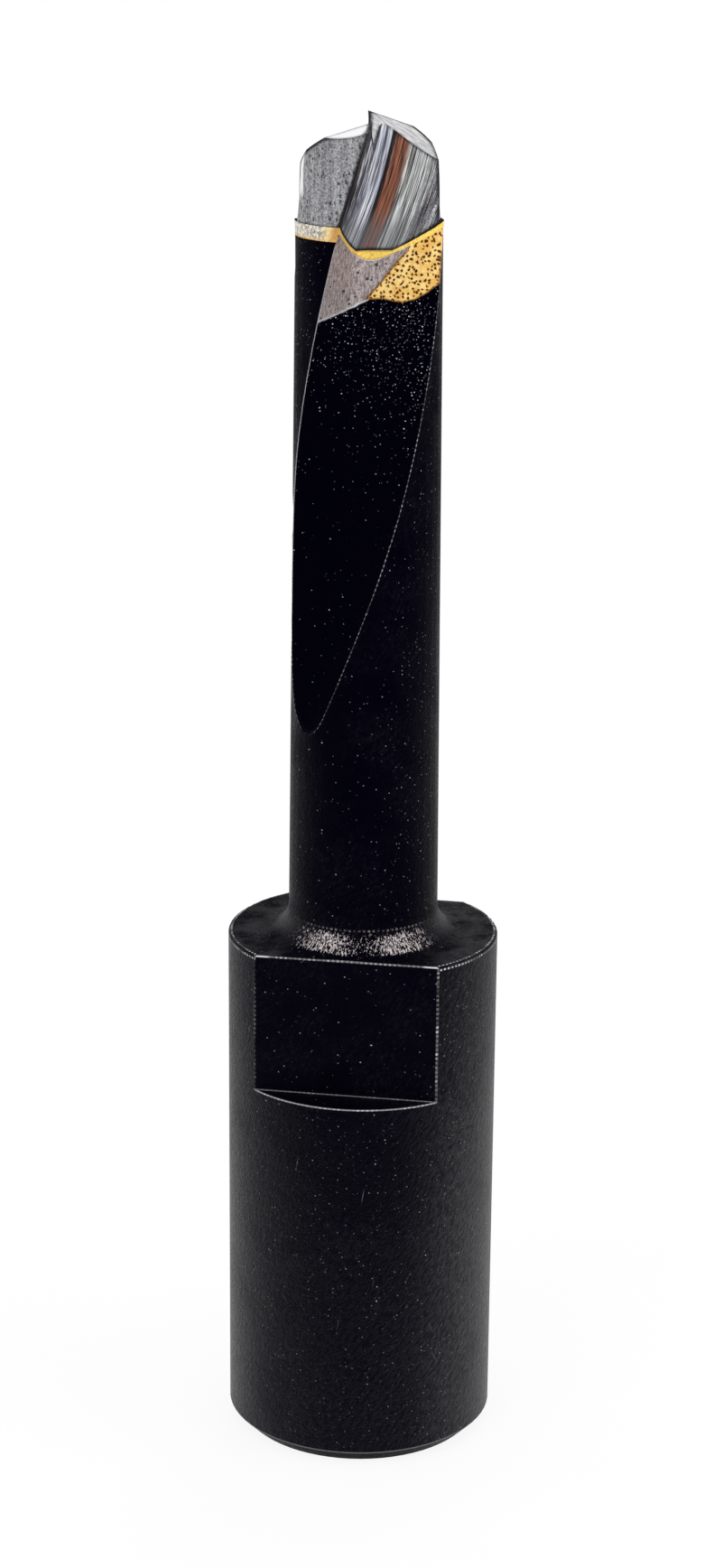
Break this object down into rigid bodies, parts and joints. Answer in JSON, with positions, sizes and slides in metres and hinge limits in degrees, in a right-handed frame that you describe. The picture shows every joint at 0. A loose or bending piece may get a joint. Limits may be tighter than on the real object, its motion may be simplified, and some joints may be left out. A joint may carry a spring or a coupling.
{
  "type": "mortising cutter",
  "caption": "Slot mortising bit with a screw-on boss, spanner flats, a right-hand fluted stem and a brazed carbide cutting tip.",
  "frame": {"origin": "centre of the boss's flat end face, which is what the cutter stands on", "axes": "+Z along the cutter's axis towards the cutting tip, -Y towards the side that the picture shows, +X to the right of it"},
  "size_m": [0.023, 0.023, 0.1132],
  "materials": {
    "steel": "black oxide, satin",
    "carbide": "ground tungsten carbide",
    "braze": "rough braze alloy"
  },
  "bodies": {
    "root": {"steel_body": "steel", "carbide_tip": "carbide", "braze_filler": "braze"}
  },
  "joints": []
}
